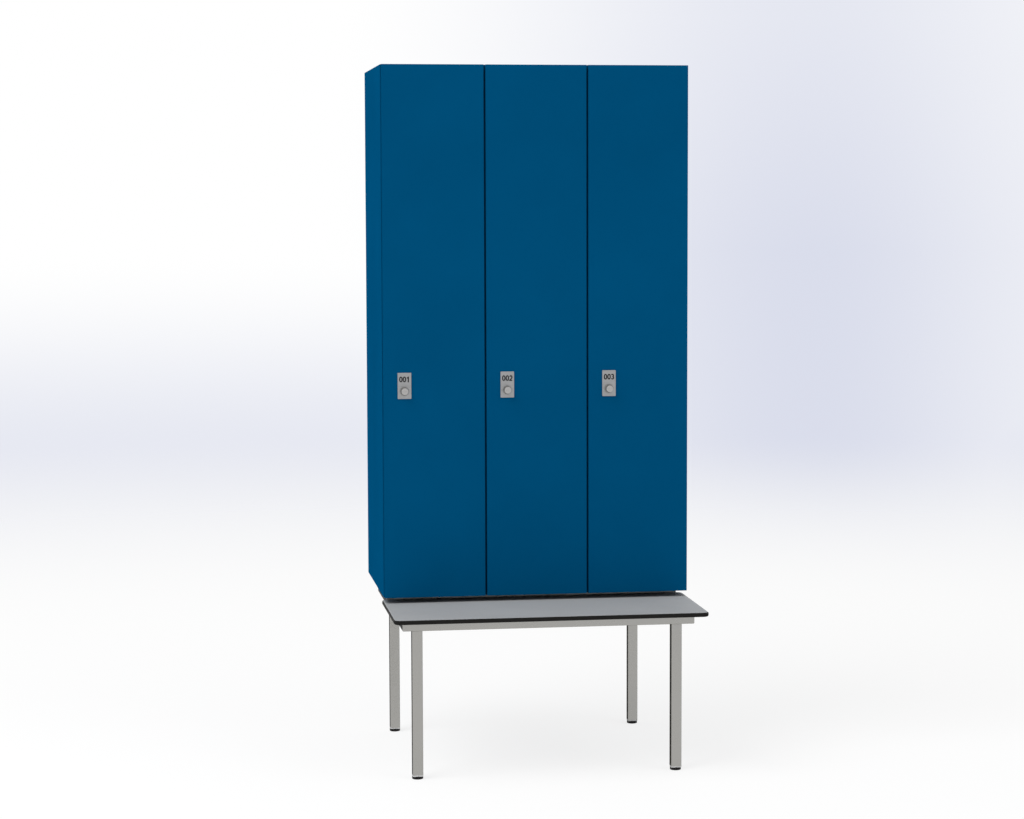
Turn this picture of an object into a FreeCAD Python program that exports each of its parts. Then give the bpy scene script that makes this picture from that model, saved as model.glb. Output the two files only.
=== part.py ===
import FreeCAD
import Part
import math
import os

from functools import lru_cache
from FreeCAD import Vector

# Three-bay changing-room locker on a steel bench frame with a projecting seat board.
# Millimetres. +Z is up, +X is to the right seen from the front, +Y is towards the back.
# The origin lies on the floor, under the middle of the outline.

# Locker block
BAYS = ("left", "middle", "right")
BAY_PITCH = 300.0
LOCKER_HEIGHT = 1540.0
LOCKER_DEPTH = 520.0
BOARD = 13.0
BACK_BOARD = 6.0
BOARD_ARRIS = 0.8
HAT_SPACE_HEIGHT = 270.0
SHELF_SETBACK = 45.0
SHELF_CLEARANCE = 0.5
WALL_HOLE = 7.0
WALL_HOLE_DROP = 110.0
BACK_SCREW_ROWS = 6
BACK_SCREW_INSET = 60.0

# Doors and their pivots
DOOR_GAP = 5.5
DOOR_STANDOFF = 3.0
DOOR_SKIN = 3.0
PIVOT_INSET = 5.75
PIVOT_NOSE = 4.2
PIVOT_PIN = 4.0
PIVOT_PIN_REACH = 12.0
PIVOT_PLATE = 3.0
PIVOT_TAIL_WIDTH = 13.0
PIVOT_TAIL_LENGTH = 46.0
PIVOT_SCREW_SHARES = (0.3, 0.75)
PIVOT_SCREW_INSET_SHARE = 0.65
PIVOT_SWING_ROOM = 4.0
BUSH_WALL = 1.5
BUSH_SPARE = 2.0
RUNNING_CLEARANCE = 0.05
FACE_CLEARANCE = 0.3
BUFFER_DIAMETER = 8.0
BUFFER_INSET = 40.0

# Locks
LOCK_INSET = 63.25
LOCK_HEIGHT = 602.0
LOCK_PLATE_WIDTH = 40.0
LOCK_PLATE_HEIGHT = 76.0
LOCK_PLATE_RISE = 15.75
LOCK_PLATE_THICKNESS = 2.0
LOCK_PLATE_CORNER = 2.0
LOCK_PLATE_ROUNDING = 0.5
LOCK_RING = 26.0
LOCK_RING_THICKNESS = 2.0
LOCK_RING_ROUNDING = 0.7
LOCK_BARREL = 18.0
LOCK_NUT = 26.0
LOCK_NUT_THICKNESS = 4.0
KNOB_BASE = 23.5
KNOB_FACE = 20.0
KNOB_LENGTH = 12.0
KNOB_ROUNDING = 1.2
KNOB_SLOT_LENGTH = 12.0
KNOB_SLOT_WIDTH = 1.2
KNOB_SLOT_DEPTH = 1.5
SPINDLE = 8.0
SPINDLE_SQUARE = 5.5
CAM_THICKNESS = 2.5
CAM_WIDTH = 14.0
CAM_HUB = 18.0
CAM_WALL_GAP = 3.25
CAM_SCREW = 3.0
CAM_SCREW_BITE = 10.0
CAM_SCREW_HEAD = 9.0
CAM_SCREW_HEAD_HEIGHT = 2.5
CAM_SCREW_ROUNDING = 1.0
KEEP_SHEET = 2.0
KEEP_FLANGE = 18.0
KEEP_LEAF = 34.0
KEEP_HEIGHT = 44.0
KEEP_CAM_GAP = 1.5
KEEP_SCREW_SETBACK_SHARE = 0.7
KEEP_SCREW_RISE_SHARES = (-0.3, 0.3)

# Carcase fittings
BRACKET_LEG = 20.0
BRACKET_SHEET = 2.0
BRACKET_LENGTH = 40.0
BRACKET_INSET = 100.0
CLEAT_LEG = 15.0
CLEAT_SHEET = 2.0
CLEAT_END_GAP = 30.0
CLEAT_SCREW_SHARES = (0.15, 0.85)
ANGLE_HOLE_SHARE = 0.6
HOOK_DROP = 70.0
HOOK_PLATE_WIDTH = 24.0
HOOK_PLATE_HEIGHT = 54.0
HOOK_PLATE_THICKNESS = 3.0
HOOK_PLATE_CORNER_SHARE = 0.4
HOOK_ROD = 7.0
HOOK_REACH = 24.0
HOOK_BEND = 11.0
HOOK_RISE = 9.0
HOOK_BALL = 11.0
SCREW_SHANK = 3.5
SCREW_HEAD = 7.5
SCREW_HEAD_HEIGHT = 2.2
SCREW_HEAD_ROUNDING = 1.3
SCREW_RECESS_LENGTH = 4.0
SCREW_RECESS_WIDTH = 0.9
SCREW_RECESS_DEPTH = 1.2
SCREW_BITE_SHARE = 0.45

# Bench frame and seat
TUBE = 30.0
TUBE_WALL = 2.0
TUBE_CORNER = 3.0
FRAME_SIDE_INSET = 30.0
LEG_LENGTH = 450.0
SEAT_REACH = 300.0
SEAT_TUCK = 85.0
SEAT_OVERHANG = 70.0
SEAT_SIDE_INSET = 0.5
SEAT_CORNER = 18.0
SEAT_EDGE_ROUNDING = 4.5
BEARER_SIDE_INSET = 18.0
BEARER_SEAT_GAP = 0.5
PLUG_FLANGE = 2.0
PLUG_DEPTH = 18.0
FOOT_COLLAR = 3.5
FOOT_STEM = 22.0
GLIDE_DIAMETER = 32.0
GLIDE_HEIGHT = 8.5
GLIDE_ROUNDING = 2.0
GLIDE_STUD = 8.0
GLIDE_STUD_LENGTH = 14.0
TAB_LENGTH = 32.0
TAB_REACH = 24.0
TAB_SHEET = 4.0
BOLT_SHANK = 6.0
BOLT_HEAD = 10.0
BOLT_HEAD_HEIGHT = 4.0
BOLT_BITE_SHARE = 0.7

# Derived planes
UNIT_WIDTH = BAY_PITCH * len(BAYS)
UNIT_DEPTH = SEAT_REACH + LOCKER_DEPTH
LEFT = -UNIT_WIDTH / 2
RIGHT = UNIT_WIDTH / 2
SEAT_FRONT = -UNIT_DEPTH / 2
BACK = UNIT_DEPTH / 2
FACE = SEAT_FRONT + SEAT_REACH
CARCASE_FRONT = FACE + BOARD + DOOR_STANDOFF
BACK_BOARD_FRONT = BACK - BACK_BOARD
SEAT_BACK = FACE + SEAT_TUCK
FOOT_TOP = GLIDE_HEIGHT + FOOT_COLLAR
FRAME_TOP = FOOT_TOP + LEG_LENGTH
FRAME_BOTTOM = FRAME_TOP - TUBE
BASE = FRAME_TOP + TUBE
TOP = BASE + LOCKER_HEIGHT
FLOOR_TOP = BASE + BOARD
CEILING = TOP - BOARD
SHELF_TOP = CEILING - HAT_SPACE_HEIGHT
SHELF_UNDER = SHELF_TOP - BOARD
FRAME_LEFT = LEFT + FRAME_SIDE_INSET
FRAME_RIGHT = RIGHT - FRAME_SIDE_INSET
FRAME_FRONT = SEAT_FRONT + SEAT_OVERHANG
SCREW_BITE = BOARD * SCREW_BITE_SHARE
BOLT_BITE = BOARD * BOLT_BITE_SHARE
LOCK_Z = BASE + LOCK_HEIGHT
PIVOT_Y = FACE + DOOR_SKIN + FACE_CLEARANCE + PIVOT_NOSE
CAM_FRONT = CARCASE_FRONT + FACE_CLEARANCE + KEEP_SHEET + KEEP_CAM_GAP
LEFT_WALLS = ("left_side", "left_divider", "right_divider")
RIGHT_WALLS = ("left_divider", "right_divider", "right_side")

UP = Vector(0, 0, 1)
DOWN = Vector(0, 0, -1)
BACKWARD = Vector(0, 1, 0)
FORWARD = Vector(0, -1, 0)

parts = {}


# Keep solids under the name of their piece
def add(node, *solids):
    parts.setdefault(node, []).extend(solids)


# Cut the same tools out of every solid of a piece
def drill(node, tools):
    parts[node] = [piece for solid in parts[node] for piece in solid.cut(tools).Solids]


# Box between two corners given in any order
def block(x0, x1, y0, y1, z0, z1):
    corner = Vector(min(x0, x1), min(y0, y1), min(z0, z1))
    return Part.makeBox(abs(x1 - x0), abs(y1 - y0), abs(z1 - z0), corner)


def rod(diameter, length, base, direction):
    return Part.makeCylinder(diameter / 2, length, base, direction)


# Edges of a solid that run along one axis
def edges_along(solid, axis):
    straight = [edge for edge in solid.Edges if edge.Curve.TypeId == "Part::GeomLine"]
    return [edge for edge in straight if abs(edge.tangentAt(edge.FirstParameter)[axis]) > 0.999]


# Edges of a solid that lie wholly in one plane across an axis
def edges_at(solid, axis, level):
    return [edge for edge in solid.Edges if all(abs(v.Point[axis] - level) < 1e-4 for v in edge.Vertexes)]


# Board with all its edges eased
def board(x0, x1, y0, y1, z0, z1):
    plain = block(x0, x1, y0, y1, z0, z1)
    return plain.makeFillet(BOARD_ARRIS, plain.Edges)


# Square tube along one axis (0, 1 or 2)
def tube(x0, x1, y0, y1, z0, z1, axis):
    low = [x0, y0, z0]
    high = [x1, y1, z1]
    outer = block(x0, x1, y0, y1, z0, z1)
    outer = outer.makeFillet(TUBE_CORNER, edges_along(outer, axis))
    inner_low = [low[i] if i == axis else low[i] + TUBE_WALL for i in range(3)]
    inner_high = [high[i] if i == axis else high[i] - TUBE_WALL for i in range(3)]
    inner = block(inner_low[0], inner_high[0], inner_low[1], inner_high[1], inner_low[2], inner_high[2])
    inner = inner.makeFillet(TUBE_CORNER - TUBE_WALL, edges_along(inner, axis))
    return outer.cut(inner)


# Upright prism over a plan outline
def prism(outline, z0, z1):
    points = [Vector(x, y, z0) for x, y in outline]
    return Part.Face(Part.makePolygon(points + points[:1])).extrude(Vector(0, 0, z1 - z0))


# Hexagonal prism on an axis
def hexagon(across_flats, thickness, base, direction):
    radius = across_flats / math.sqrt(3)
    side = direction.cross(UP if abs(direction.z) < 0.5 else BACKWARD)
    turn = direction.cross(side)
    points = []
    for k in range(6):
        angle = math.radians(60 * k)
        points.append(base + side * (radius * math.cos(angle)) + turn * (radius * math.sin(angle)))
    return Part.Face(Part.makePolygon(points + points[:1])).extrude(direction * thickness)


# Copy of a piece made at the origin along +Z, set in its place and turned to a direction
def placed(shape, seat, direction):
    moved = shape.copy()
    moved.Placement = FreeCAD.Placement(seat, FreeCAD.Rotation(UP, direction))
    return moved


# Cross recess for a screwdriver, sunk along +Z from the top of a head
@lru_cache(maxsize=None)
def cross_recess(top):
    long, wide, bottom = SCREW_RECESS_LENGTH / 2, SCREW_RECESS_WIDTH / 2, top + SCREW_RECESS_DEPTH
    return block(-long, long, -wide, wide, top, bottom).fuse(block(-wide, wide, -long, long, top, bottom))


# Shank of a screw through a sheet into the board behind it, along +Z from the face of the sheet
def screw_shank(sheet):
    return rod(SCREW_SHANK, sheet + SCREW_BITE, Vector(), UP)


# Pan-head screw, its head on the face of the sheet
@lru_cache(maxsize=None)
def pan_screw(sheet):
    head = rod(SCREW_HEAD, SCREW_HEAD_HEIGHT, DOWN * SCREW_HEAD_HEIGHT, UP)
    head = head.makeFillet(SCREW_HEAD_ROUNDING, edges_at(head, 2, -SCREW_HEAD_HEIGHT))
    return head.fuse(screw_shank(sheet)).removeSplitter().cut(cross_recess(-SCREW_HEAD_HEIGHT))


# Hole for a countersunk screw that ends flush with the face of the sheet
@lru_cache(maxsize=None)
def flush_hole(sheet):
    sink = (SCREW_HEAD - SCREW_SHANK) / 2
    head = Part.makeCone(SCREW_HEAD / 2, SCREW_SHANK / 2, sink)
    return head.fuse(screw_shank(sheet)).removeSplitter()


# Countersunk screw that fills such a hole
@lru_cache(maxsize=None)
def flush_screw(sheet):
    return flush_hole(sheet).cut(cross_recess(0.0))


# Hexagon-head bolt, head outside the seat plane
def hex_bolt(seat, direction, length):
    head = hexagon(BOLT_HEAD, BOLT_HEAD_HEIGHT, seat - direction * BOLT_HEAD_HEIGHT, direction)
    return head.fuse(rod(BOLT_SHANK, length, seat, direction)).removeSplitter()


# X of the line between bays, counted from the left side
def bay_line(index):
    return LEFT + BAY_PITCH * index


# Inner faces of the two walls of a bay
def bay_walls(index):
    left_wall = bay_line(index) + (BOARD if index == 0 else BOARD / 2)
    last = index == len(BAYS) - 1
    right_wall = bay_line(index + 1) - (BOARD if last else BOARD / 2)
    return left_wall, right_wall


# Rectangular frame of mitred tube with a leg in each inner corner
def bench_frame():
    x0, x1 = FRAME_LEFT, FRAME_RIGHT
    y0, y1 = FRAME_FRONT, BACK
    z0, z1 = FRAME_BOTTOM, FRAME_TOP
    ix0, ix1, iy0, iy1 = x0 + TUBE, x1 - TUBE, y0 + TUBE, y1 - TUBE
    front_cut = prism([(x0, y0), (x1, y0), (ix1, iy0), (ix0, iy0)], z0, z1)
    rear_cut = prism([(x0, y1), (ix0, iy1), (ix1, iy1), (x1, y1)], z0, z1)
    left_cut = prism([(x0, y0), (ix0, iy0), (ix0, iy1), (x0, y1)], z0, z1)
    right_cut = prism([(x1, y0), (x1, y1), (ix1, iy1), (ix1, iy0)], z0, z1)
    add("front_rail", tube(x0, x1, y0, iy0, z0, z1, 0).common(front_cut))
    add("rear_rail", tube(x0, x1, iy1, y1, z0, z1, 0).common(rear_cut))
    add("left_rail", tube(x0, ix0, y0, y1, z0, z1, 1).common(left_cut))
    add("right_rail", tube(ix1, x1, y0, y1, z0, z1, 1).common(right_cut))
    add("cross_rail", tube(ix0, ix1, SEAT_BACK - TUBE, SEAT_BACK, z0, z1, 0))
    for depth_name, leg_y in (("front", iy0), ("rear", iy1 - TUBE)):
        for side_name, leg_x in (("left", ix0), ("right", ix1 - TUBE)):
            leg = tube(leg_x, leg_x + TUBE, leg_y, leg_y + TUBE, FOOT_TOP, FRAME_TOP, 2)
            add(depth_name + "_" + side_name + "_leg", leg)
            leg_foot(leg_x, leg_y)


# Push-in collar and round glide under one leg
def leg_foot(leg_x, leg_y):
    centre = Vector(leg_x + TUBE / 2, leg_y + TUBE / 2, 0)
    collar = block(leg_x, leg_x + TUBE, leg_y, leg_y + TUBE, GLIDE_HEIGHT, FOOT_TOP)
    collar = collar.makeFillet(TUBE_CORNER, edges_along(collar, 2))
    low_x, low_y = leg_x + TUBE_WALL, leg_y + TUBE_WALL
    bore = TUBE - 2 * TUBE_WALL
    stem = block(low_x, low_x + bore, low_y, low_y + bore, FOOT_TOP, FOOT_TOP + FOOT_STEM)
    stem = stem.makeFillet(TUBE_CORNER - TUBE_WALL, edges_along(stem, 2))
    glide = rod(GLIDE_DIAMETER, GLIDE_HEIGHT, centre, UP)
    glide = glide.makeFillet(GLIDE_ROUNDING, edges_at(glide, 2, 0))
    stud = rod(GLIDE_STUD, GLIDE_STUD_LENGTH, centre + UP * GLIDE_HEIGHT, UP)
    add("foot_collars", collar.fuse(stem).removeSplitter().cut(stud))
    add("foot_glides", glide.fuse(stud).removeSplitter())


# Two tubes across the frame that lift the locker, with a plug in each open end
def bearers():
    x0, x1 = LEFT + BEARER_SIDE_INSET, RIGHT - BEARER_SIDE_INSET
    tube_ends = (x0 + PLUG_FLANGE, x1 - PLUG_FLANGE)
    places = (("front_bearer", SEAT_BACK + BEARER_SEAT_GAP), ("rear_bearer", BACK - 2 * TUBE))
    for node, y0 in places:
        bearer = tube(tube_ends[0], tube_ends[1], y0, y0 + TUBE, FRAME_TOP, BASE, 0)
        bolts = []
        for index in range(len(BAYS)):
            seat = Vector(bay_line(index + 0.5), y0 + TUBE / 2, FRAME_TOP)
            bolts.append(hex_bolt(seat, UP, TUBE + BOLT_BITE))
        add(node, bearer.cut(bolts))
        add("locker_bolts", *bolts)
        drill("bottom_board", bolts)
        for outer, inner, deep in ((x0, tube_ends[0], PLUG_DEPTH), (x1, tube_ends[1], -PLUG_DEPTH)):
            flange = block(outer, inner, y0, y0 + TUBE, FRAME_TOP, BASE)
            flange = flange.makeFillet(TUBE_CORNER, edges_along(flange, 0))
            low_y, high_y = y0 + TUBE_WALL, y0 + TUBE - TUBE_WALL
            stem = block(inner, inner + deep, low_y, high_y, FRAME_TOP + TUBE_WALL, BASE - TUBE_WALL)
            stem = stem.makeFillet(TUBE_CORNER - TUBE_WALL, edges_along(stem, 0))
            add("bearer_plugs", flange.fuse(stem).removeSplitter())


# Seat board, held from below through tabs on the front and cross rails
def seat():
    x0, x1 = LEFT + SEAT_SIDE_INSET, RIGHT - SEAT_SIDE_INSET
    z0, z1 = FRAME_TOP, FRAME_TOP + BOARD
    top = block(x0, x1, SEAT_FRONT, SEAT_BACK, z0, z1)
    top = top.makeFillet(SEAT_CORNER, edges_along(top, 2))
    top = top.makeFillet(SEAT_EDGE_ROUNDING, edges_at(top, 2, z0) + edges_at(top, 2, z1))
    rows = ((FRAME_FRONT + TUBE, TAB_REACH), (SEAT_BACK - TUBE, -TAB_REACH))
    screws = []
    for rail_face, reach in rows:
        for index in range(len(BAYS)):
            middle = bay_line(index + 0.5)
            tab = block(middle - TAB_LENGTH / 2, middle + TAB_LENGTH / 2, rail_face, rail_face + reach,
                        FRAME_TOP - TAB_SHEET, FRAME_TOP)
            place = Vector(middle, rail_face + reach / 2, FRAME_TOP - TAB_SHEET)
            screw = hex_bolt(place, UP, TAB_SHEET + BOLT_BITE)
            screws.append(screw)
            add("seat_tabs", tab.cut(screw))
    add("seat_board", top.cut(screws))
    add("seat_screws", *screws)


# Sides, dividers, top, bottom and back
def carcase():
    add("left_side", board(LEFT, LEFT + BOARD, CARCASE_FRONT, BACK, BASE, TOP))
    add("right_side", board(RIGHT - BOARD, RIGHT, CARCASE_FRONT, BACK, BASE, TOP))
    for node, index in (("left_divider", 1), ("right_divider", 2)):
        x0 = bay_line(index) - BOARD / 2
        add(node, board(x0, x0 + BOARD, CARCASE_FRONT, BACK_BOARD_FRONT, FLOOR_TOP, CEILING))
    add("bottom_board", board(LEFT + BOARD, RIGHT - BOARD, CARCASE_FRONT, BACK, BASE, FLOOR_TOP))
    add("top_board", board(LEFT + BOARD, RIGHT - BOARD, CARCASE_FRONT, BACK, CEILING, TOP))
    back = block(LEFT + BOARD, RIGHT - BOARD, BACK_BOARD_FRONT, BACK, FLOOR_TOP, CEILING)
    holes = []
    for index in (0, len(BAYS) - 1):
        start = Vector(bay_line(index + 0.5), BACK_BOARD_FRONT, CEILING - WALL_HOLE_DROP)
        holes.append(rod(WALL_HOLE, BACK_BOARD, start, BACKWARD))
    add("back_board", back.cut(holes))


# Countersunk screws through the back board into the rear edge of one divider
def back_screws(node, index):
    low, high = FLOOR_TOP + BACK_SCREW_INSET, CEILING - BACK_SCREW_INSET
    step = (high - low) / (BACK_SCREW_ROWS - 1)
    for row in range(BACK_SCREW_ROWS):
        place = Vector(bay_line(index), BACK, low + step * row)
        hole = placed(flush_hole(BACK_BOARD), place, FORWARD)
        drill("back_board", [hole])
        drill(node, [hole])
        add("back_screws", placed(flush_screw(BACK_BOARD), place, FORWARD))


# Angle piece in a corner: wall at x, board at z, legs running towards +-x and +-z
def angle(x, z, side, rise, leg, sheet, y0, y1):
    upright = block(x, x + side * sheet, y0, y1, z, z + rise * leg)
    flat = block(x, x + side * leg, y0, y1, z, z + rise * sheet)
    return upright.fuse(flat).removeSplitter()


# Put pan-head screws through a fitting into boards, given as (board, seat, direction)
def fix(node, fitting, places, sheet):
    holes = []
    for board_node, seat_point, direction in places:
        hole = placed(screw_shank(sheet), seat_point, direction)
        drill(board_node, [hole])
        holes.append(hole)
        add("carcase_screws", placed(pan_screw(sheet), seat_point, direction))
    add(node, fitting.cut(holes))


# Corner brackets that tie the top and bottom to the walls of a bay
def corner_brackets(index):
    walls = bay_walls(index)
    wall_nodes = (LEFT_WALLS[index], RIGHT_WALLS[index])
    rows = (CARCASE_FRONT + BRACKET_INSET, BACK_BOARD_FRONT - BRACKET_INSET)
    hole = BRACKET_LEG * ANGLE_HOLE_SHARE
    for wall_node, x, side in zip(wall_nodes, walls, (1, -1)):
        for board_node, z, rise in (("bottom_board", FLOOR_TOP, 1), ("top_board", CEILING, -1)):
            for y in rows:
                y0, y1 = y - BRACKET_LENGTH / 2, y + BRACKET_LENGTH / 2
                bracket = angle(x, z, side, rise, BRACKET_LEG, BRACKET_SHEET, y0, y1)
                wall_seat = Vector(x + side * BRACKET_SHEET, y, z + rise * hole)
                board_seat = Vector(x + side * hole, y, z + rise * BRACKET_SHEET)
                places = ((wall_node, wall_seat, Vector(-side, 0, 0)),
                          (board_node, board_seat, Vector(0, 0, -rise)))
                fix("corner_brackets", bracket, places, BRACKET_SHEET)


# Hat shelf of a bay on two angle cleats
def hat_shelf(index):
    walls = bay_walls(index)
    y0, y1 = CARCASE_FRONT + SHELF_SETBACK, BACK_BOARD_FRONT
    x0, x1 = walls[0] + SHELF_CLEARANCE, walls[1] - SHELF_CLEARANCE
    add("hat_shelves", board(x0, x1, y0, y1, SHELF_UNDER, SHELF_TOP))
    cleat_y0, cleat_y1 = y0 + CLEAT_END_GAP, y1 - CLEAT_END_GAP
    run = cleat_y1 - cleat_y0
    screw_z = SHELF_UNDER - CLEAT_LEG * ANGLE_HOLE_SHARE
    for wall_node, x, side in zip((LEFT_WALLS[index], RIGHT_WALLS[index]), walls, (1, -1)):
        cleat = angle(x, SHELF_UNDER, side, -1, CLEAT_LEG, CLEAT_SHEET, cleat_y0, cleat_y1)
        places = []
        for share in CLEAT_SCREW_SHARES:
            seat_point = Vector(x + side * CLEAT_SHEET, cleat_y0 + run * share, screw_z)
            places.append((wall_node, seat_point, Vector(-side, 0, 0)))
        fix("shelf_cleats", cleat, places, CLEAT_SHEET)


# Coat hook on the right wall of a bay, below the shelf
def coat_hook(index):
    x = bay_walls(index)[1]
    y = (CARCASE_FRONT + BACK_BOARD_FRONT) / 2
    z = SHELF_UNDER - CLEAT_LEG - HOOK_DROP
    inner = x - HOOK_PLATE_THICKNESS
    plate = block(inner, x, y - HOOK_PLATE_WIDTH / 2, y + HOOK_PLATE_WIDTH / 2,
                  z - HOOK_PLATE_HEIGHT / 2, z + HOOK_PLATE_HEIGHT / 2)
    plate = plate.makeFillet(HOOK_PLATE_WIDTH * HOOK_PLATE_CORNER_SHARE, edges_along(plate, 0))
    half_turn = math.radians(45)
    root = Vector(inner, y, z)
    bend_start = root - Vector(HOOK_REACH, 0, 0)
    bend_middle = bend_start + Vector(-math.sin(half_turn), 0, 1 - math.cos(half_turn)) * HOOK_BEND
    bend_end = bend_start + Vector(-HOOK_BEND, 0, HOOK_BEND)
    tip = bend_end + UP * HOOK_RISE
    bend = Part.Arc(bend_start, bend_middle, bend_end).toShape()
    path = Part.Wire([Part.makeLine(root, bend_start), bend, Part.makeLine(bend_end, tip)])
    profile = Part.Wire(Part.makeCircle(HOOK_ROD / 2, root, Vector(-1, 0, 0)))
    arm = path.makePipeShell([profile], True, False)
    ball = Part.makeSphere(HOOK_BALL / 2, tip)
    hook = plate.fuse([arm, ball]).removeSplitter()
    offset = HOOK_PLATE_HEIGHT / 2 - SCREW_HEAD
    places = [(RIGHT_WALLS[index], root + UP * step, Vector(1, 0, 0)) for step in (offset, -offset)]
    fix("coat_hooks", hook, places, HOOK_PLATE_THICKNESS)


# Pivot plate, pin and screws at the top (rise 1) or bottom (rise -1) of one door
def pivot(index, rise):
    outer = TOP if rise > 0 else BASE
    inward = Vector(0, 0, -rise)
    x = pivot_x(index)
    z_inner = outer - rise * PIVOT_PLATE
    tail_back = CARCASE_FRONT + PIVOT_TAIL_LENGTH
    tail = block(x - PIVOT_TAIL_WIDTH, x, PIVOT_Y - PIVOT_NOSE, tail_back, outer, z_inner)
    plate = tail.fuse(rod(2 * PIVOT_NOSE, PIVOT_PLATE, Vector(x, PIVOT_Y, outer), inward)).removeSplitter()
    pin = rod(PIVOT_PIN, PIVOT_PLATE + PIVOT_PIN_REACH, Vector(x, PIVOT_Y, outer), inward)
    screw_x = x - PIVOT_TAIL_WIDTH * PIVOT_SCREW_INSET_SHARE
    holes = []
    for share in PIVOT_SCREW_SHARES:
        seat_point = Vector(screw_x, CARCASE_FRONT + PIVOT_TAIL_LENGTH * share, outer)
        holes.append(placed(flush_hole(PIVOT_PLATE), seat_point, inward))
        add("pivot_screws", placed(flush_screw(PIVOT_PLATE), seat_point, inward))
    add("pivot_plates", plate.cut(holes + [pin]))
    add("pivot_pins", pin)
    board_node = "top_board" if rise > 0 else "bottom_board"
    drill(board_node, [plate] + holes)
    if index == len(BAYS) - 1:
        drill("right_side", [plate])


def pivot_x(index):
    return bay_line(index + 1) - DOOR_GAP / 2 - PIVOT_INSET


# Door panel with its pivot notches and bushes
def door(index, name):
    x0, x1 = bay_line(index) + DOOR_GAP / 2, bay_line(index + 1) - DOOR_GAP / 2
    panel = board(x0, x1, FACE, FACE + BOARD, BASE, TOP)
    notch_depth = PIVOT_PLATE + FACE_CLEARANCE
    notch_x = pivot_x(index) - PIVOT_TAIL_WIDTH - PIVOT_SWING_ROOM
    bush_outer = PIVOT_PIN + 2 * (RUNNING_CLEARANCE + BUSH_WALL)
    bush_length = PIVOT_PIN_REACH + BUSH_SPARE
    cuts = []
    for rise, outer in ((1, TOP), (-1, BASE)):
        cuts.append(block(notch_x, x1, FACE + DOOR_SKIN, FACE + BOARD, outer, outer - rise * notch_depth))
        start = Vector(pivot_x(index), PIVOT_Y, outer - rise * (PIVOT_PLATE + RUNNING_CLEARANCE))
        inward = Vector(0, 0, -rise)
        body = rod(bush_outer, bush_length, start, inward)
        bore = rod(PIVOT_PIN + 2 * RUNNING_CLEARANCE, bush_length, start, inward)
        add(name + "_door_bushes", body.cut(bore))
        cuts.append(body)
    lock_x = bay_line(index) + LOCK_INSET
    cuts.append(rod(LOCK_BARREL, BOARD, Vector(lock_x, FACE, LOCK_Z), BACKWARD))
    add(name + "_door", panel.cut(cuts))


# Buffers on the carcase front behind the free side of a door
def buffers(index):
    x = bay_line(index) + BUFFER_INSET
    for z in (BASE + BOARD / 2, TOP - BOARD / 2):
        add("door_buffers", rod(BUFFER_DIAMETER, DOOR_STANDOFF, Vector(x, CARCASE_FRONT, z), FORWARD))


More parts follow.
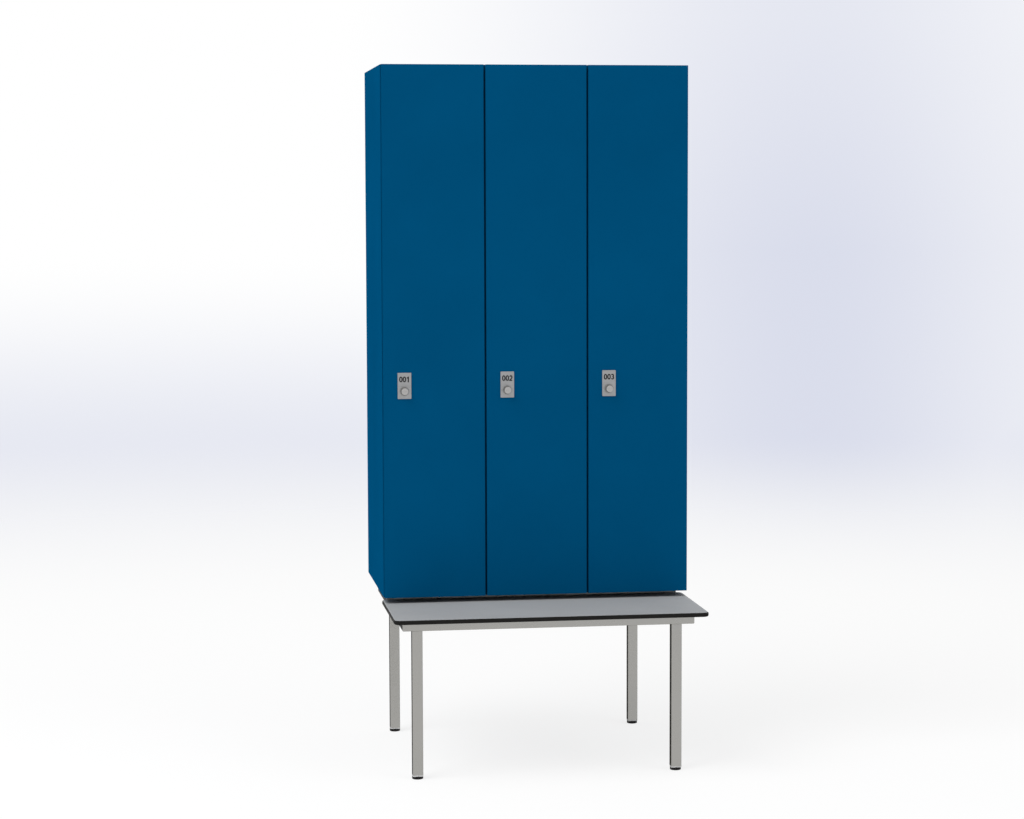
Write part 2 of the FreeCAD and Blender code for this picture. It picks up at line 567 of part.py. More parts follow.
# Lock of one door: plate, housing and nut on the door; knob, cam and screw that turn
def lock(index, name):
    x = bay_line(index) + LOCK_INSET
    plate_front = FACE - LOCK_PLATE_THICKNESS
    ring_front = plate_front - LOCK_RING_THICKNESS
    door_back = FACE + BOARD
    nut_back = door_back + LOCK_NUT_THICKNESS
    cam_back = CAM_FRONT + CAM_THICKNESS
    housing_back = CAM_FRONT - FACE_CLEARANCE
    knob_back = ring_front - FACE_CLEARANCE

    middle = LOCK_Z + LOCK_PLATE_RISE
    plate = block(x - LOCK_PLATE_WIDTH / 2, x + LOCK_PLATE_WIDTH / 2, plate_front, FACE,
                  middle - LOCK_PLATE_HEIGHT / 2, middle + LOCK_PLATE_HEIGHT / 2)
    plate = plate.makeFillet(LOCK_PLATE_CORNER, edges_along(plate, 1))
    plate = plate.makeFillet(LOCK_PLATE_ROUNDING, edges_at(plate, 1, plate_front))
    barrel = rod(LOCK_BARREL, housing_back - plate_front, Vector(x, plate_front, LOCK_Z), BACKWARD)
    ring_centre = Vector(x, ring_front, LOCK_Z)
    ring = rod(LOCK_RING, LOCK_RING_THICKNESS, ring_centre, BACKWARD)
    ring = ring.makeFillet(LOCK_RING_ROUNDING, edges_at(ring, 1, ring_front))
    bore = rod(SPINDLE + 2 * RUNNING_CLEARANCE, housing_back - ring_front, ring_centre, BACKWARD)
    nut = hexagon(LOCK_NUT, LOCK_NUT_THICKNESS, Vector(x, door_back, LOCK_Z), BACKWARD)
    add(name + "_lock_plate", plate.cut(barrel))
    add(name + "_lock_housing", ring.fuse(barrel).removeSplitter().cut(bore))
    add(name + "_lock_nut", nut.cut(barrel))

    knob_face = knob_back - KNOB_LENGTH
    knob = Part.makeCone(KNOB_BASE / 2, KNOB_FACE / 2, KNOB_LENGTH, Vector(x, knob_back, LOCK_Z), FORWARD)
    knob = knob.makeFillet(KNOB_ROUNDING, edges_at(knob, 1, knob_face))
    slot = block(x - KNOB_SLOT_LENGTH / 2, x + KNOB_SLOT_LENGTH / 2, knob_face, knob_face + KNOB_SLOT_DEPTH,
                 LOCK_Z - KNOB_SLOT_WIDTH / 2, LOCK_Z + KNOB_SLOT_WIDTH / 2)
    spindle = rod(SPINDLE, CAM_FRONT - knob_back, Vector(x, knob_back, LOCK_Z), BACKWARD)
    half = SPINDLE_SQUARE / 2
    square = block(x - half, x + half, CAM_FRONT, cam_back, LOCK_Z - half, LOCK_Z + half)
    shank = rod(CAM_SCREW, CAM_SCREW_BITE, Vector(x, cam_back, LOCK_Z), FORWARD)
    head = rod(CAM_SCREW_HEAD, CAM_SCREW_HEAD_HEIGHT, Vector(x, cam_back, LOCK_Z), BACKWARD)
    head_top = Vector(x, cam_back + CAM_SCREW_HEAD_HEIGHT, LOCK_Z)
    head = head.makeFillet(CAM_SCREW_ROUNDING, edges_at(head, 1, head_top.y))
    head = head.cut(placed(cross_recess(0.0), head_top, FORWARD))
    add(name + "_lock_knob", knob.fuse([spindle, square]).removeSplitter().cut([slot, shank]))
    add(name + "_cam_screw", head.fuse(shank).removeSplitter())

    reach = LOCK_INSET - BOARD - CAM_WALL_GAP
    tip = LOCK_Z - reach + CAM_WIDTH / 2
    hub = rod(CAM_HUB, CAM_THICKNESS, Vector(x, CAM_FRONT, LOCK_Z), BACKWARD)
    arm = block(x - CAM_WIDTH / 2, x + CAM_WIDTH / 2, CAM_FRONT, cam_back, tip, LOCK_Z)
    end = rod(CAM_WIDTH, CAM_THICKNESS, Vector(x, CAM_FRONT, tip), BACKWARD)
    add(name + "_lock_cam", hub.fuse([arm, end]).removeSplitter().cut(square))


# Keep on the left wall of a bay, its flange in front of the turned cam
def lock_keep(index):
    x = bay_walls(index)[0]
    y0 = CAM_FRONT - KEEP_CAM_GAP - KEEP_SHEET
    z0, z1 = LOCK_Z - KEEP_HEIGHT / 2, LOCK_Z + KEEP_HEIGHT / 2
    leaf = block(x, x + KEEP_SHEET, y0, y0 + KEEP_LEAF, z0, z1)
    flange = block(x, x + KEEP_FLANGE, y0, y0 + KEEP_SHEET, z0, z1)
    screw_y = y0 + KEEP_LEAF * KEEP_SCREW_SETBACK_SHARE
    places = []
    for share in KEEP_SCREW_RISE_SHARES:
        seat_point = Vector(x + KEEP_SHEET, screw_y, LOCK_Z + KEEP_HEIGHT * share)
        places.append((LEFT_WALLS[index], seat_point, Vector(-1, 0, 0)))
    fix("lock_keeps", leaf.fuse(flange).removeSplitter(), places, KEEP_SHEET)


carcase()
back_screws("left_divider", 1)
back_screws("right_divider", 2)
bench_frame()
bearers()
seat()
for bay, bay_name in enumerate(BAYS):
    corner_brackets(bay)
    hat_shelf(bay)
    coat_hook(bay)
    pivot(bay, 1)
    pivot(bay, -1)
    door(bay, bay_name)
    buffers(bay)
    lock(bay, bay_name)
    lock_keep(bay)

os.makedirs("parts", exist_ok=True)
for node, solids in parts.items():
    shape = solids[0] if len(solids) == 1 else Part.makeCompound(solids)
    shape.exportStep("parts/" + node + ".step")
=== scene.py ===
import math

import bmesh
import bpy
from mathutils import Matrix, Vector


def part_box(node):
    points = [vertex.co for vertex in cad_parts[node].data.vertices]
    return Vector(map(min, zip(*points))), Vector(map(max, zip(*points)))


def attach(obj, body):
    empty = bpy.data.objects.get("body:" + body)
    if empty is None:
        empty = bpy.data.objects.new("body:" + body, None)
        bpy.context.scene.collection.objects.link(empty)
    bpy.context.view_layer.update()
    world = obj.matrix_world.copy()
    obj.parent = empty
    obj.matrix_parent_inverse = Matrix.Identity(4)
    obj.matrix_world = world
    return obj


# Looks of a three-bay changing-room locker on a steel bench frame with a projecting seat board
# Metres in the frame of the solids: X to the right seen from the front, Y towards the back, Z up
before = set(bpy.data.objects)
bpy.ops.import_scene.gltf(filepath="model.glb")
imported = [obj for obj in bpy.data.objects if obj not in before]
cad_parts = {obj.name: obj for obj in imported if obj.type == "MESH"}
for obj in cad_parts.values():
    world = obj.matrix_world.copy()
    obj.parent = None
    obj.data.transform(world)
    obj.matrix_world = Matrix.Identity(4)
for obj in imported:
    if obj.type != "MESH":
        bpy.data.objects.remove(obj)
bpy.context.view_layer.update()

# Bays from left to right, and the way out of the bench frame along Y at each depth and along X at each side
BAYS = ("left", "middle", "right")
DEPTHS = {"front": -1, "rear": 1}
SIDES = {"left": -1, "right": 1}

# Camera of the photograph: angles in degrees, lens and sensor in millimetres
CAMERA_PLACE = (-1.12607, -7.36460, 1.64891)
CAMERA_YAW = 8.259
CAMERA_PITCH = 4.775
CAMERA_ROLL = -0.172
CAMERA_LENS = 88.935
CAMERA_SENSOR = 36.0

# Tones in linear light, dark and light ends of each surface
BLUE = ((0.0, 0.0560, 0.141), (0.0004, 0.0820, 0.203))
BLUE_EDGE = ((0.0, 0.058, 0.147), (0.0003, 0.065, 0.162))
SEAT_GREY = ((0.265, 0.273, 0.280), (0.365, 0.373, 0.380))
BLACK_CORE = ((0.009, 0.0088, 0.0083), (0.0165, 0.016, 0.0152))
SILVER_PAINT = ((0.350, 0.344, 0.325), (0.404, 0.398, 0.377))
BLACK_PLASTIC = ((0.0012, 0.0012, 0.0012), (0.0035, 0.0035, 0.0035))
RUBBER = ((0.010, 0.010, 0.010), (0.020, 0.020, 0.019))
GREY_NYLON = ((0.50, 0.50, 0.50), (0.60, 0.60, 0.60))
ZINC = ((0.47, 0.47, 0.46), (0.62, 0.62, 0.60))
ALUMINIUM = ((0.55, 0.55, 0.56), (0.68, 0.68, 0.69))
HOOK_STEEL = ((0.48, 0.48, 0.47), (0.60, 0.60, 0.59))
PLATE_SILVER = ((0.340, 0.340, 0.337), (0.400, 0.400, 0.396))
KNOB_SILVER = ((0.405, 0.395, 0.375), (0.500, 0.488, 0.466))
# Steel of the lock housing ring, darker than the knob's: partly its own tone, partly painted shade of the
# groove round the knob
RING_STEEL_PAINTED_SHADE = ((0.255, 0.253, 0.244), (0.315, 0.312, 0.300))
INK = ((0.002, 0.002, 0.002), (0.006, 0.006, 0.006))
WHITE = (1.0, 1.0, 1.0, 1.0)
BACKDROP_PALE = (0.700, 0.725, 0.835, 1.0)

# Share of the fine grain or fleck in the tone of boards and paint
GRAIN_SHARE = 0.8

# Fineness of surface textures in features per metre, heights of their relief in metres
LAMINATE_CLOUD = 4.0
LAMINATE_GRAIN = 800.0
LAMINATE_SMUDGE = 9.0
LAMINATE_EMBOSS = 520.0
LAMINATE_EMBOSS_HEIGHT = 0.0006
PLY_ACROSS = 2400.0
PLY_ALONG = 60.0
PAINT_CLOUD = 14.0
PAINT_FLECK = 1400.0
PAINT_PEEL = 600.0
PAINT_PEEL_HEIGHT = 0.0002
BRUSH_ACROSS = 1800.0
BRUSH_ALONG = 40.0
BRUSH_STAIN = 35.0
BRUSH_HEIGHT = 0.0001
LATHE_RINGS = 2600.0
LATHE_STAIN = 60.0
LATHE_HEIGHT = 0.0001
MOULD_CLOUD = 60.0
MOULD_GRAIN_HEIGHT = 0.0002

# Roughness and gloss of the surfaces
BOARD_ROUGH = 0.85
BOARD_GLOSS = 0.0
SEAT_ROUGH = 0.6
SEAT_GLOSS = 0.05
MOULD_GLOSS = 0.2
PAINT_ROUGH = (0.24, 0.31)
LATHE_ROUGH = (0.30, 0.42)

# Shares of the normal along a board's axis between which its edge turns into its broad face
FACE_START = 0.84
FACE_END = 0.88

# Loss of that share on the seat's underside, so that its core shows further round the lower edge
SEAT_UNDER_CUT = 0.12


# Shader node with its settings and inputs; an input is a value or another node's output
def node(tree, kind, inputs=None, **settings):
    made = tree.nodes.new(kind)
    for key, value in settings.items():
        setattr(made, key, value)
    for key, value in (inputs or {}).items():
        if isinstance(value, bpy.types.NodeSocket):
            tree.links.new(value, made.inputs[key])
        else:
            made.inputs[key].default_value = value
    return made


# Empty material with its node tree, its shader and the part's own coordinates
def blank(name):
    mat = bpy.data.materials.new(name)
    mat.use_nodes = True
    tree = mat.node_tree
    return mat, tree, tree.nodes["Principled BSDF"], node(tree, "ShaderNodeTexCoord").outputs


def noise(tree, vector, scale, detail=3.0, roughness=0.5):
    made = node(tree, "ShaderNodeTexNoise", {"Vector": vector, "Scale": scale, "Detail": detail,
                                             "Roughness": roughness})
    return made.outputs["Fac"]


# Noise with one fineness along an axis and another across it
def lined_noise(tree, vector, axis, along, across, detail):
    factors = tuple(along if i == axis else across for i in range(3))
    stretched = node(tree, "ShaderNodeMapping", {"Vector": vector, "Scale": factors})
    return noise(tree, stretched.outputs["Vector"], 1.0, detail)


def maths(tree, operation, *values):
    return node(tree, "ShaderNodeMath", dict(enumerate(values)), operation=operation).outputs[0]


def vector_maths(tree, operation, *values):
    return node(tree, "ShaderNodeVectorMath", dict(enumerate(values)), operation=operation).outputs


# Broad signal with a share of a fine one
def mixed(tree, broad, fine, share):
    return maths(tree, "MULTIPLY_ADD", fine, share, maths(tree, "MULTIPLY", broad, 1.0 - share))


# Map a stretch of a signal to a range of values
def spread(tree, signal, low, high, start=0.3, end=0.7, smooth=False):
    made = node(tree, "ShaderNodeMapRange", {"Value": signal, "From Min": start, "From Max": end,
                                             "To Min": low, "To Max": high},
                interpolation_type="SMOOTHSTEP" if smooth else "LINEAR")
    return made.outputs["Result"]


# Colour that drifts between two tones with a signal
def tones(tree, signal, pair, start=0.3, end=0.7):
    ramp = node(tree, "ShaderNodeValToRGB", {"Fac": signal})
    for element, position, colour in zip(ramp.color_ramp.elements, (start, end), pair):
        element.position = position
        element.color = (*colour, 1.0)
    return ramp.outputs["Color"]


def blend_colour(tree, factor, first, second):
    made = node(tree, "ShaderNodeMixRGB", {"Fac": factor, "Color1": first, "Color2": second})
    return made.outputs["Color"]


# Roughness that drifts about a middle value with a signal
def worn(tree, shader, signal, rough, less, more):
    tree.links.new(spread(tree, signal, rough - less, rough + more), shader.inputs["Roughness"])


def bump(tree, shader, height, strength, distance):
    made = node(tree, "ShaderNodeBump", {"Height": height, "Strength": strength, "Distance": distance})
    tree.links.new(made.outputs["Normal"], shader.inputs["Normal"])


# Faced board: decor on the two broad faces across an axis, another tone with fine plies on its edges
def faced_board(name, axis, decor_tones, edge_tones, rough, gloss, under_cut=0.0):
    mat, tree, shader, coords = blank(name)
    shader.inputs["Specular IOR Level"].default_value = gloss
    parted = node(tree, "ShaderNodeSeparateXYZ", {"Vector": coords["Normal"]})
    under = maths(tree, "MULTIPLY_ADD", parted.outputs[axis], -1.0, -under_cut)
    facing = maths(tree, "MAXIMUM", parted.outputs[axis], under)
    broad = spread(tree, facing, 0.0, 1.0, FACE_START, FACE_END)
    cloud = noise(tree, coords["Object"], LAMINATE_CLOUD, detail=4.0)
    grain = noise(tree, coords["Object"], LAMINATE_GRAIN, detail=3.0, roughness=0.7)
    decor = tones(tree, mixed(tree, cloud, grain, GRAIN_SHARE), decor_tones)
    plies = lined_noise(tree, coords["Object"], axis, PLY_ACROSS, PLY_ALONG, detail=2.0)
    edge = tones(tree, plies, edge_tones)
    tree.links.new(blend_colour(tree, broad, edge, decor), shader.inputs["Base Color"])
    smudge = noise(tree, coords["Object"], LAMINATE_SMUDGE, detail=5.0)
    worn(tree, shader, smudge, rough, less=0.05, more=0.07)
    emboss = noise(tree, coords["Object"], LAMINATE_EMBOSS, detail=3.0, roughness=0.6)
    bump(tree, shader, emboss, strength=0.45, distance=LAMINATE_EMBOSS_HEIGHT)
    return mat


# Metallic powder coat: fine orange peel and flakes that lie flat, so it darkens at a glancing angle
def powder_coat(name, pair):
    mat, tree, shader, coords = blank(name)
    shader.inputs["Metallic"].default_value = 1.0
    shader.inputs["Specular Tint"].default_value = (0.0, 0.0, 0.0, 1.0)
    cloud = noise(tree, coords["Object"], PAINT_CLOUD, detail=4.0)
    fleck = noise(tree, coords["Object"], PAINT_FLECK, detail=2.0, roughness=0.7)
    tree.links.new(tones(tree, mixed(tree, cloud, fleck, GRAIN_SHARE), pair), shader.inputs["Base Color"])
    tree.links.new(spread(tree, cloud, *PAINT_ROUGH), shader.inputs["Roughness"])
    peel = noise(tree, coords["Object"], PAINT_PEEL, detail=2.0)
    bump(tree, shader, peel, strength=0.15, distance=PAINT_PEEL_HEIGHT)
    return mat


# Plain metal with brushing drawn out along one axis
def brushed(name, pair, axis, rough):
    mat, tree, shader, coords = blank(name)
    shader.inputs["Metallic"].default_value = 1.0
    lines = lined_noise(tree, coords["Object"], axis, BRUSH_ALONG, BRUSH_ACROSS, detail=3.0)
    tree.links.new(tones(tree, lines, pair), shader.inputs["Base Color"])
    stain = noise(tree, coords["Object"], BRUSH_STAIN, detail=3.0)
    worn(tree, shader, stain, rough, less=0.06, more=0.08)
    bump(tree, shader, lines, strength=0.1, distance=BRUSH_HEIGHT)
    return mat


# Lathe-turned metal: fine rings around an axis along Y
def turned(name, centre, pair):
    mat, tree, shader, coords = blank(name)
    shader.inputs["Metallic"].default_value = 1.0
    moved = vector_maths(tree, "SUBTRACT", coords["Object"], centre)["Vector"]
    flat = vector_maths(tree, "MULTIPLY", moved, (1.0, 0.0, 1.0))["Vector"]
    radius = vector_maths(tree, "LENGTH", flat)["Value"]
    spun = node(tree, "ShaderNodeCombineXYZ", {"X": radius})
    rings = noise(tree, spun.outputs["Vector"], LATHE_RINGS, detail=2.0)
    tree.links.new(tones(tree, rings, pair), shader.inputs["Base Color"])
    stain = noise(tree, coords["Object"], LATHE_STAIN, detail=3.0)
    tree.links.new(spread(tree, stain, *LATHE_ROUGH), shader.inputs["Roughness"])
    bump(tree, shader, rings, strength=0.08, distance=LATHE_HEIGHT)
    return mat


# Moulded plastic or rubber with a light texture
def moulded(name, pair, rough, fineness):
    mat, tree, shader, coords = blank(name)
    shader.inputs["Specular IOR Level"].default_value = MOULD_GLOSS
    cloud = noise(tree, coords["Object"], MOULD_CLOUD, detail=4.0)
    tree.links.new(tones(tree, cloud, pair), shader.inputs["Base Color"])
    worn(tree, shader, cloud, rough, less=0.06, more=0.08)
    grain = noise(tree, coords["Object"], fineness, detail=2.0)
    bump(tree, shader, grain, strength=0.2, distance=MOULD_GRAIN_HEIGHT)
    return mat


def paint_nodes(names, mat):
    for name in names:
        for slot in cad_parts[name].material_slots:
            slot.material = mat


# The same piece of every bay
def per_bay(*ends):
    return [bay + end for bay in BAYS for end in ends]


# Blue laminate of a board whose broad faces lie across an axis
def blue_board(name, axis):
    return faced_board(name, axis, BLUE, BLUE_EDGE, BOARD_ROUGH, BOARD_GLOSS)


# Boards
paint_nodes(per_bay("_door") + ["back_board"], blue_board("door_laminate", 1))
paint_nodes(["left_side", "right_side", "left_divider", "right_divider"], blue_board("side_laminate", 0))
paint_nodes(["top_board", "bottom_board", "hat_shelves"], blue_board("shelf_laminate", 2))
paint_nodes(["seat_board"], faced_board("seat_laminate", 2, SEAT_GREY, BLACK_CORE, SEAT_ROUGH, SEAT_GLOSS,
                                        SEAT_UNDER_CUT))

# Bench frame
frame_paint = powder_coat("frame_paint", SILVER_PAINT)
legs = [depth + "_" + side + "_leg" for depth in DEPTHS for side in SIDES]
rails = ["front_rail", "rear_rail", "left_rail", "right_rail", "cross_rail", "front_bearer", "rear_bearer"]
paint_nodes(legs + rails + ["seat_tabs"], frame_paint)
paint_nodes(["bearer_plugs", "foot_glides"],
            moulded("black_plastic", BLACK_PLASTIC, rough=0.5, fineness=900.0))
paint_nodes(["foot_collars"] + per_bay("_door_bushes"),
            moulded("grey_nylon", GREY_NYLON, rough=0.45, fineness=800.0))

# Fittings
zinced = ["seat_screws", "locker_bolts", "carcase_screws", "back_screws", "lock_keeps", "pivot_plates",
          "pivot_pins", "pivot_screws"] + per_bay("_lock_nut", "_lock_cam", "_cam_screw")
paint_nodes(zinced, brushed("zinc_steel", ZINC, 2, rough=0.36))
paint_nodes(["shelf_cleats", "corner_brackets"], brushed("aluminium_angle", ALUMINIUM, 1, rough=0.4))
paint_nodes(["coat_hooks"], brushed("hook_steel", HOOK_STEEL, 2, rough=0.3))
paint_nodes(["door_buffers"], moulded("buffer_rubber", RUBBER, rough=0.7, fineness=1300.0))

# Locks
paint_nodes(per_bay("_lock_plate"), brushed("lock_silver", PLATE_SILVER, 0, rough=0.45))
for bay in BAYS:
    low, high = (Vector(corner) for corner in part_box(bay + "_lock_knob"))
    axis_point = (low + high) / 2
    paint_nodes([bay + "_lock_knob"], turned(bay + "_knob_steel", axis_point, KNOB_SILVER))
    # Housing ring in the darker steel, which is partly painted shade round the knob
    paint_nodes([bay + "_lock_housing"], turned(bay + "_ring_steel_painted_shade", axis_point, RING_STEEL_PAINTED_SHADE))


# New mesh piece that rides a body and takes the finish it is given
def add_piece(name, made, mat, body):
    bmesh.ops.recalc_face_normals(made, faces=made.faces)
    mesh = bpy.data.meshes.new(name)
    made.to_mesh(mesh)
    made.free()
    mesh.materials.append(mat)
    piece = bpy.data.objects.new(name, mesh)
    bpy.context.scene.collection.objects.link(piece)
    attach(piece, body)


# Walls of a sweep, between each ring of its section and the ring that follows it
def skin(made, rings, followers):
    for ring, following in zip(rings, followers):
        for j in range(len(ring)):
            turn = (j + 1) % len(ring)
            made.faces.new((ring[j], ring[turn], following[turn], following[j]))


def cap_ends(made, rings):
    made.faces.new(rings[0])
    made.faces.new(reversed(rings[-1]))


# Door numbers: strokes of one width, on a figure one unit high
FIGURE_HEIGHT = 0.0132
FIGURE_PITCH = 0.0104
FIGURE_WIDTH = 0.0066
STROKE = 0.0033
END_UP = STROKE / 2 / FIGURE_HEIGHT
MITRE_LIMIT = 0.45
INK_THICKNESS = 0.00010
INK_OVERLAP = 0.00003
NUMBER_ABOVE_KNOB = 0.0345
ARC_STEPS = 20


# Points of an arc of an ellipse, angles in degrees
def arc(centre, radii, first, last):
    points = []
    for k in range(ARC_STEPS + 1):
        angle = math.radians(first + (last - first) * k / ARC_STEPS)
        points.append((centre[0] + radii[0] * math.cos(angle), centre[1] + radii[1] * math.sin(angle)))
    return points


# Strokes of a figure, each a list of points across (-0.5 to 0.5) and up (-0.5 to 0.5)
FIGURES = {
    "0": [arc((0, 0.12), (0.5, 0.38), 0, 180) + arc((0, -0.12), (0.5, 0.38), 180, 360) + [(0.5, 0.12)]],
    "1": [[(0.12, -0.5 - END_UP), (0.12, 0.5 + END_UP)], [(0.02, 0.44), (-0.44, 0.22)]],
    "2": [arc((0, 0.18), (0.48, 0.32), 165, -35) + [(-0.5, -0.5), (0.56, -0.5)]],
    "3": [arc((0, 0.25), (0.44, 0.25), 155, -90), arc((0, -0.25), (0.5, 0.25), 100, -155)],
}


# Ribbon along a stroke, which joins up where the stroke ends at its start
def ribbon(made, points, depth_front, depth_back):
    closed = points[0] == points[-1]
    if closed:
        points = points[:-1]
    last = len(points) - 1
    rings = []
    for k, point in enumerate(points):
        before = (point - points[k - 1]).normalized() if closed or k > 0 else None
        after = (points[(k + 1) % len(points)] - point).normalized() if closed or k < last else None
        first = before or after
        second = after or before
        along = (first + second).normalized()
        across = Vector((-along.y, along.x)) * (STROKE / 2 / max(along.dot(first), MITRE_LIMIT))
        outline = [(point + across, depth_front), (point - across, depth_front),
                   (point - across, depth_back), (point + across, depth_back)]
        rings.append([made.verts.new((flat.x, depth, flat.y)) for flat, depth in outline])
    if closed:
        skin(made, rings, rings[1:] + rings[:1])
    else:
        skin(made, rings, rings[1:])
        cap_ends(made, rings)


number_ink = moulded("number_ink", INK, rough=0.55, fineness=700.0)
for index, bay in enumerate(BAYS):
    plate_low, plate_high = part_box(bay + "_lock_plate")
    knob_low, knob_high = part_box(bay + "_lock_knob")
    middle_x = (plate_low[0] + plate_high[0]) / 2
    middle_z = (knob_low[2] + knob_high[2]) / 2 + NUMBER_ABOVE_KNOB
    number = bmesh.new()
    for column, figure in enumerate("%03d" % (index + 1)):
        centre_x = middle_x + (column - 1) * FIGURE_PITCH
        for layer, stroke in enumerate(FIGURES[figure]):
            points = [Vector((centre_x + x * FIGURE_WIDTH, middle_z + z * FIGURE_HEIGHT)) for x, z in stroke]
            ribbon(number, points, plate_low[1] - INK_THICKNESS - layer * INK_OVERLAP, plate_low[1])
    add_piece(bay + "_number", number, number_ink, bay + "_door")

# Weld beads of the bench frame
WELD_LEG = 0.0045
WELD_RIPPLE = 0.0022
WELD_STEP = 0.0005
WELD_RIPPLE_SHARE = 0.14
WELD_END_SHARE = 0.75
WELD_END_SHARPNESS = 14
WELD_PROFILE_STEPS = 6
WELD_CONVEXITY = 1.45
DOWN = Vector((0, 0, -1))
UP = Vector((0, 0, 1))
BACK = Vector((0, 1, 0))
RIGHT = Vector((1, 0, 0))


# Rippled bead along a line, lying between two faces that leave the line in two directions
def weld(made, start, end, first, second):
    length = (end - start).length
    count = round(length / WELD_STEP)
    rings = []
    for k in range(count + 1):
        along = k / count
        ripple = 1 - WELD_RIPPLE_SHARE * abs(math.cos(math.pi * length * along / WELD_RIPPLE))
        ending = 1 - WELD_END_SHARE * abs(2 * along - 1) ** WELD_END_SHARPNESS
        root = start.lerp(end, along)
        ring = [made.verts.new(root)]
        for j in range(WELD_PROFILE_STEPS + 1):
            angle = math.pi / 2 * j / WELD_PROFILE_STEPS
            out = math.cos(angle) ** WELD_CONVEXITY if j < WELD_PROFILE_STEPS else 0.0
            up = math.sin(angle) ** WELD_CONVEXITY
            ring.append(made.verts.new(root + (first * out + second * up) * WELD_LEG * ripple * ending))
        rings.append(ring)
    skin(made, rings, rings[1:])
    cap_ends(made, rings)


# Beads under the rails at one leg: along the front or rear rail and along the side rail
def weld_leg(made, leg, depth_out, side_out):
    low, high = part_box(leg)
    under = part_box("front_rail")[0][2]
    y = low[1] if depth_out < 0 else high[1]
    x = low[0] if side_out < 0 else high[0]
    weld(made, Vector((low[0], y, under)), Vector((high[0], y, under)), DOWN, BACK * depth_out)
    weld(made, Vector((x, low[1], under)), Vector((x, high[1], under)), DOWN, RIGHT * side_out)


# Beads on top of a side rail along the free faces of a bearer
def weld_bearer(made, bearer, rail, faces):
    low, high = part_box(bearer)
    rail_low, rail_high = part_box(rail)
    for depth_out in faces:
        y = low[1] if depth_out < 0 else high[1]
        weld(made, Vector((rail_low[0], y, low[2])), Vector((rail_high[0], y, low[2])), UP, BACK * depth_out)


# Upright beads where the cross rail meets a side rail
def weld_cross_rail(made, side_out):
    low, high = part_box("cross_rail")
    x = low[0] if side_out < 0 else high[0]
    for depth_out, y in ((-1, low[1]), (1, high[1])):
        weld(made, Vector((x, y, low[2])), Vector((x, y, high[2])), BACK * depth_out, RIGHT * -side_out)


beads = bmesh.new()
for depth, depth_out in DEPTHS.items():
    for side, side_out in SIDES.items():
        weld_leg(beads, depth + "_" + side + "_leg", depth_out, side_out)
for side in SIDES:
    weld_bearer(beads, "front_bearer", side + "_rail", (1,))
    weld_bearer(beads, "rear_bearer", side + "_rail", (-1, 1))
for side_out in SIDES.values():
    weld_cross_rail(beads, side_out)
add_piece("weld_beads", beads, frame_paint, "cabinet")


# Camera, glossy and transmission rays, which see the pale surroundings and not the light they give
def seen_rays(tree):
    path = node(tree, "ShaderNodeLightPath").outputs
    seen = maths(tree, "MAXIMUM", path["Is Camera Ray"], path["Is Glossy Ray"])
    return maths(tree, "MAXIMUM", seen, path["Is Transmission Ray"])


# White floor that fades out into the backdrop and keeps a faint shadow of the object
FLOOR_RADIUS = 10.5
FLOOR_WHITE_RADIUS = 3.0
FLOOR_SEGMENTS = 96
FLOOR_PALE = (0.88, 0.88, 0.88, 1.0)
SHADOW_SHARE = 0.22


def make_floor():
    mesh = bpy.data.meshes.new("floor")
    made = bmesh.new()
    bmesh.ops.create_circle(made, cap_ends=True, segments=FLOOR_SEGMENTS, radius=FLOOR_RADIUS)
    made.to_mesh(mesh)
    made.free()
    floor = bpy.data.objects.new("floor", mesh)
    bpy.context.scene.collection.objects.link(floor)
    mat = bpy.data.materials.new("floor_white")
    mat.use_nodes = True
    tree = mat.node_tree
    tree.nodes.clear()
    place = node(tree, "ShaderNodeTexCoord").outputs["Object"]
    reach = vector_maths(tree, "LENGTH", place)["Value"]
    far = spread(tree, reach, 0.0, 1.0, FLOOR_WHITE_RADIUS, FLOOR_RADIUS, smooth=True)
    lit = node(tree, "ShaderNodeBsdfDiffuse", {"Color": FLOOR_PALE})
    glow = node(tree, "ShaderNodeEmission", {"Color": WHITE, "Strength": 1.0})
    share = maths(tree, "MULTIPLY", seen_rays(tree), 1.0 - SHADOW_SHARE)
    white = node(tree, "ShaderNodeMixShader", {0: share, 1: lit.outputs[0], 2: glow.outputs[0]})
    clear = node(tree, "ShaderNodeBsdfTransparent")
    faded = node(tree, "ShaderNodeMixShader", {0: far, 1: white.outputs[0], 2: clear.outputs[0]})
    node(tree, "ShaderNodeOutputMaterial", {"Surface": faded.outputs[0]})
    mesh.materials.append(mat)


# Pale surroundings to the eye, white to pale by direction, and plain even light on the object
SOFT_LIGHT = 0.56
HORIZON_TINT = 0.68
HORIZON_TOP = -0.02
HORIZON_FOOT = -0.10
HIGH_TINT = 0.72
HIGH_SKY = 0.07
SIDE_START = 0.07
SIDE_PEAK = 0.26
SIDE_END = 0.36
FAR_SIDE_TINT = 0.55


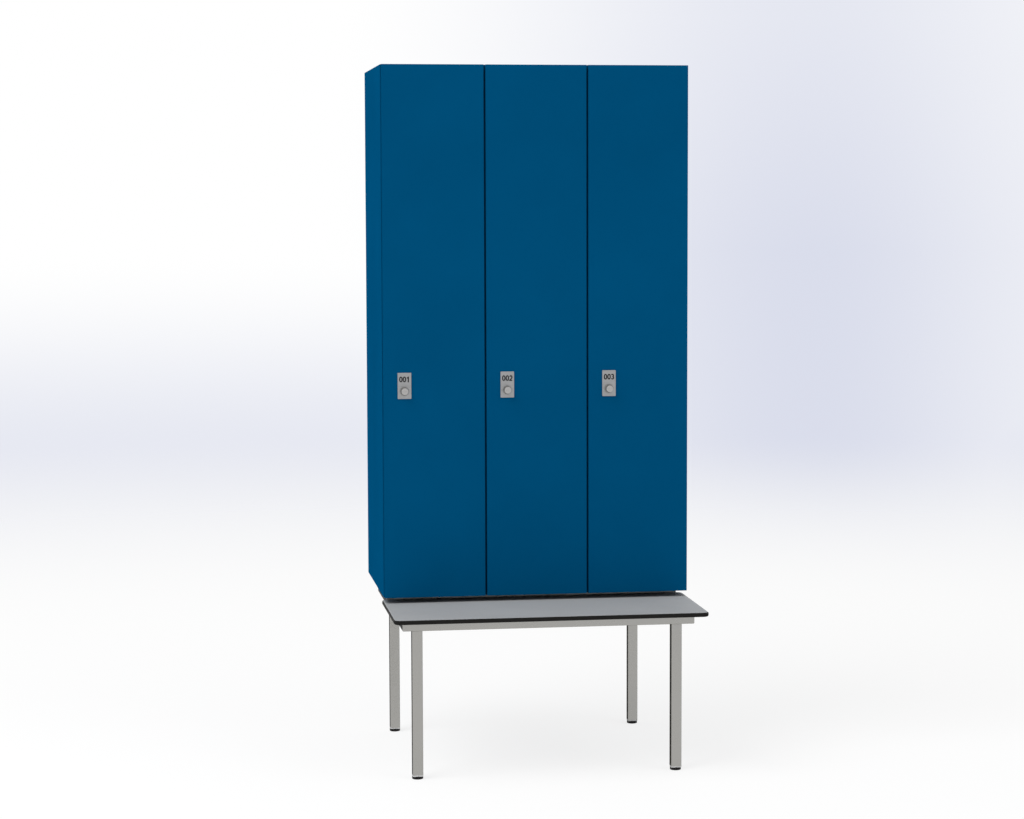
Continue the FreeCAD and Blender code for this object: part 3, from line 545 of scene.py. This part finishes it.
def make_world():
    world = bpy.data.worlds.new("studio")
    bpy.context.scene.world = world
    world.use_nodes = True
    tree = world.node_tree
    tree.nodes.clear()
    heading = node(tree, "ShaderNodeTexCoord").outputs["Generated"]
    parted = node(tree, "ShaderNodeSeparateXYZ", {"Vector": heading}).outputs
    horizon = spread(tree, parted["Z"], HORIZON_TINT, 0.0, HORIZON_FOOT, HORIZON_TOP, smooth=True)
    height = spread(tree, parted["Z"], 1.0, HIGH_TINT, HORIZON_TOP, HIGH_SKY)
    rise = spread(tree, parted["X"], 0.0, 1.0, SIDE_START, SIDE_PEAK, smooth=True)
    fall = spread(tree, parted["X"], 1.0, FAR_SIDE_TINT, SIDE_PEAK, SIDE_END, smooth=True)
    side_tint = maths(tree, "MULTIPLY", maths(tree, "MULTIPLY", rise, fall), height)
    tint = maths(tree, "MAXIMUM", side_tint, horizon)
    soft = node(tree, "ShaderNodeBackground", {"Color": WHITE, "Strength": SOFT_LIGHT})
    pale = node(tree, "ShaderNodeBackground", {"Color": blend_colour(tree, tint, WHITE, BACKDROP_PALE),
                                               "Strength": 1.0})
    shown = node(tree, "ShaderNodeMixShader", {0: seen_rays(tree), 1: soft.outputs[0], 2: pale.outputs[0]})
    node(tree, "ShaderNodeOutputWorld", {"Surface": shown.outputs[0]})


# Soft lamps, place, target and size in metres and power in watts
LAMPS = {
    "key": {"place": (-6.0, -3.3, 9.5), "target": (0.0, 0.0, 1.0), "size": 7.0, "power": 890.0},
    "fill": {"place": (6.0, -4.6, 8.0), "target": (0.0, 0.0, 0.6), "size": 6.0, "power": 180.0},
}


# Large soft lamp that metal doesn't mirror
def area_lamp(name, place, target, size, power):
    lamp = bpy.data.lights.new(name, "AREA")
    lamp.shape = "SQUARE"
    lamp.size = size
    lamp.energy = power
    obj = bpy.data.objects.new(name, lamp)
    obj.location = place
    obj.rotation_euler = (Vector(target) - Vector(place)).to_track_quat("-Z", "Y").to_euler()
    obj.visible_glossy = False
    bpy.context.scene.collection.objects.link(obj)


def make_camera():
    cam = bpy.data.cameras.new("camera")
    cam.sensor_fit = "HORIZONTAL"
    cam.sensor_width = CAMERA_SENSOR
    cam.lens = CAMERA_LENS
    obj = bpy.data.objects.new("camera", cam)
    turn = Matrix.Rotation(math.radians(-CAMERA_YAW), 4, "Z")
    tilt = Matrix.Rotation(math.radians(90 - CAMERA_PITCH), 4, "X")
    roll = Matrix.Rotation(math.radians(CAMERA_ROLL), 4, "Z")
    obj.matrix_world = Matrix.Translation(CAMERA_PLACE) @ turn @ tilt @ roll
    bpy.context.scene.collection.objects.link(obj)
    bpy.context.scene.camera = obj


make_floor()
make_world()
for lamp_name, settings in LAMPS.items():
    area_lamp(lamp_name, **settings)
make_camera()
bpy.context.scene.view_settings.view_transform = "Standard"
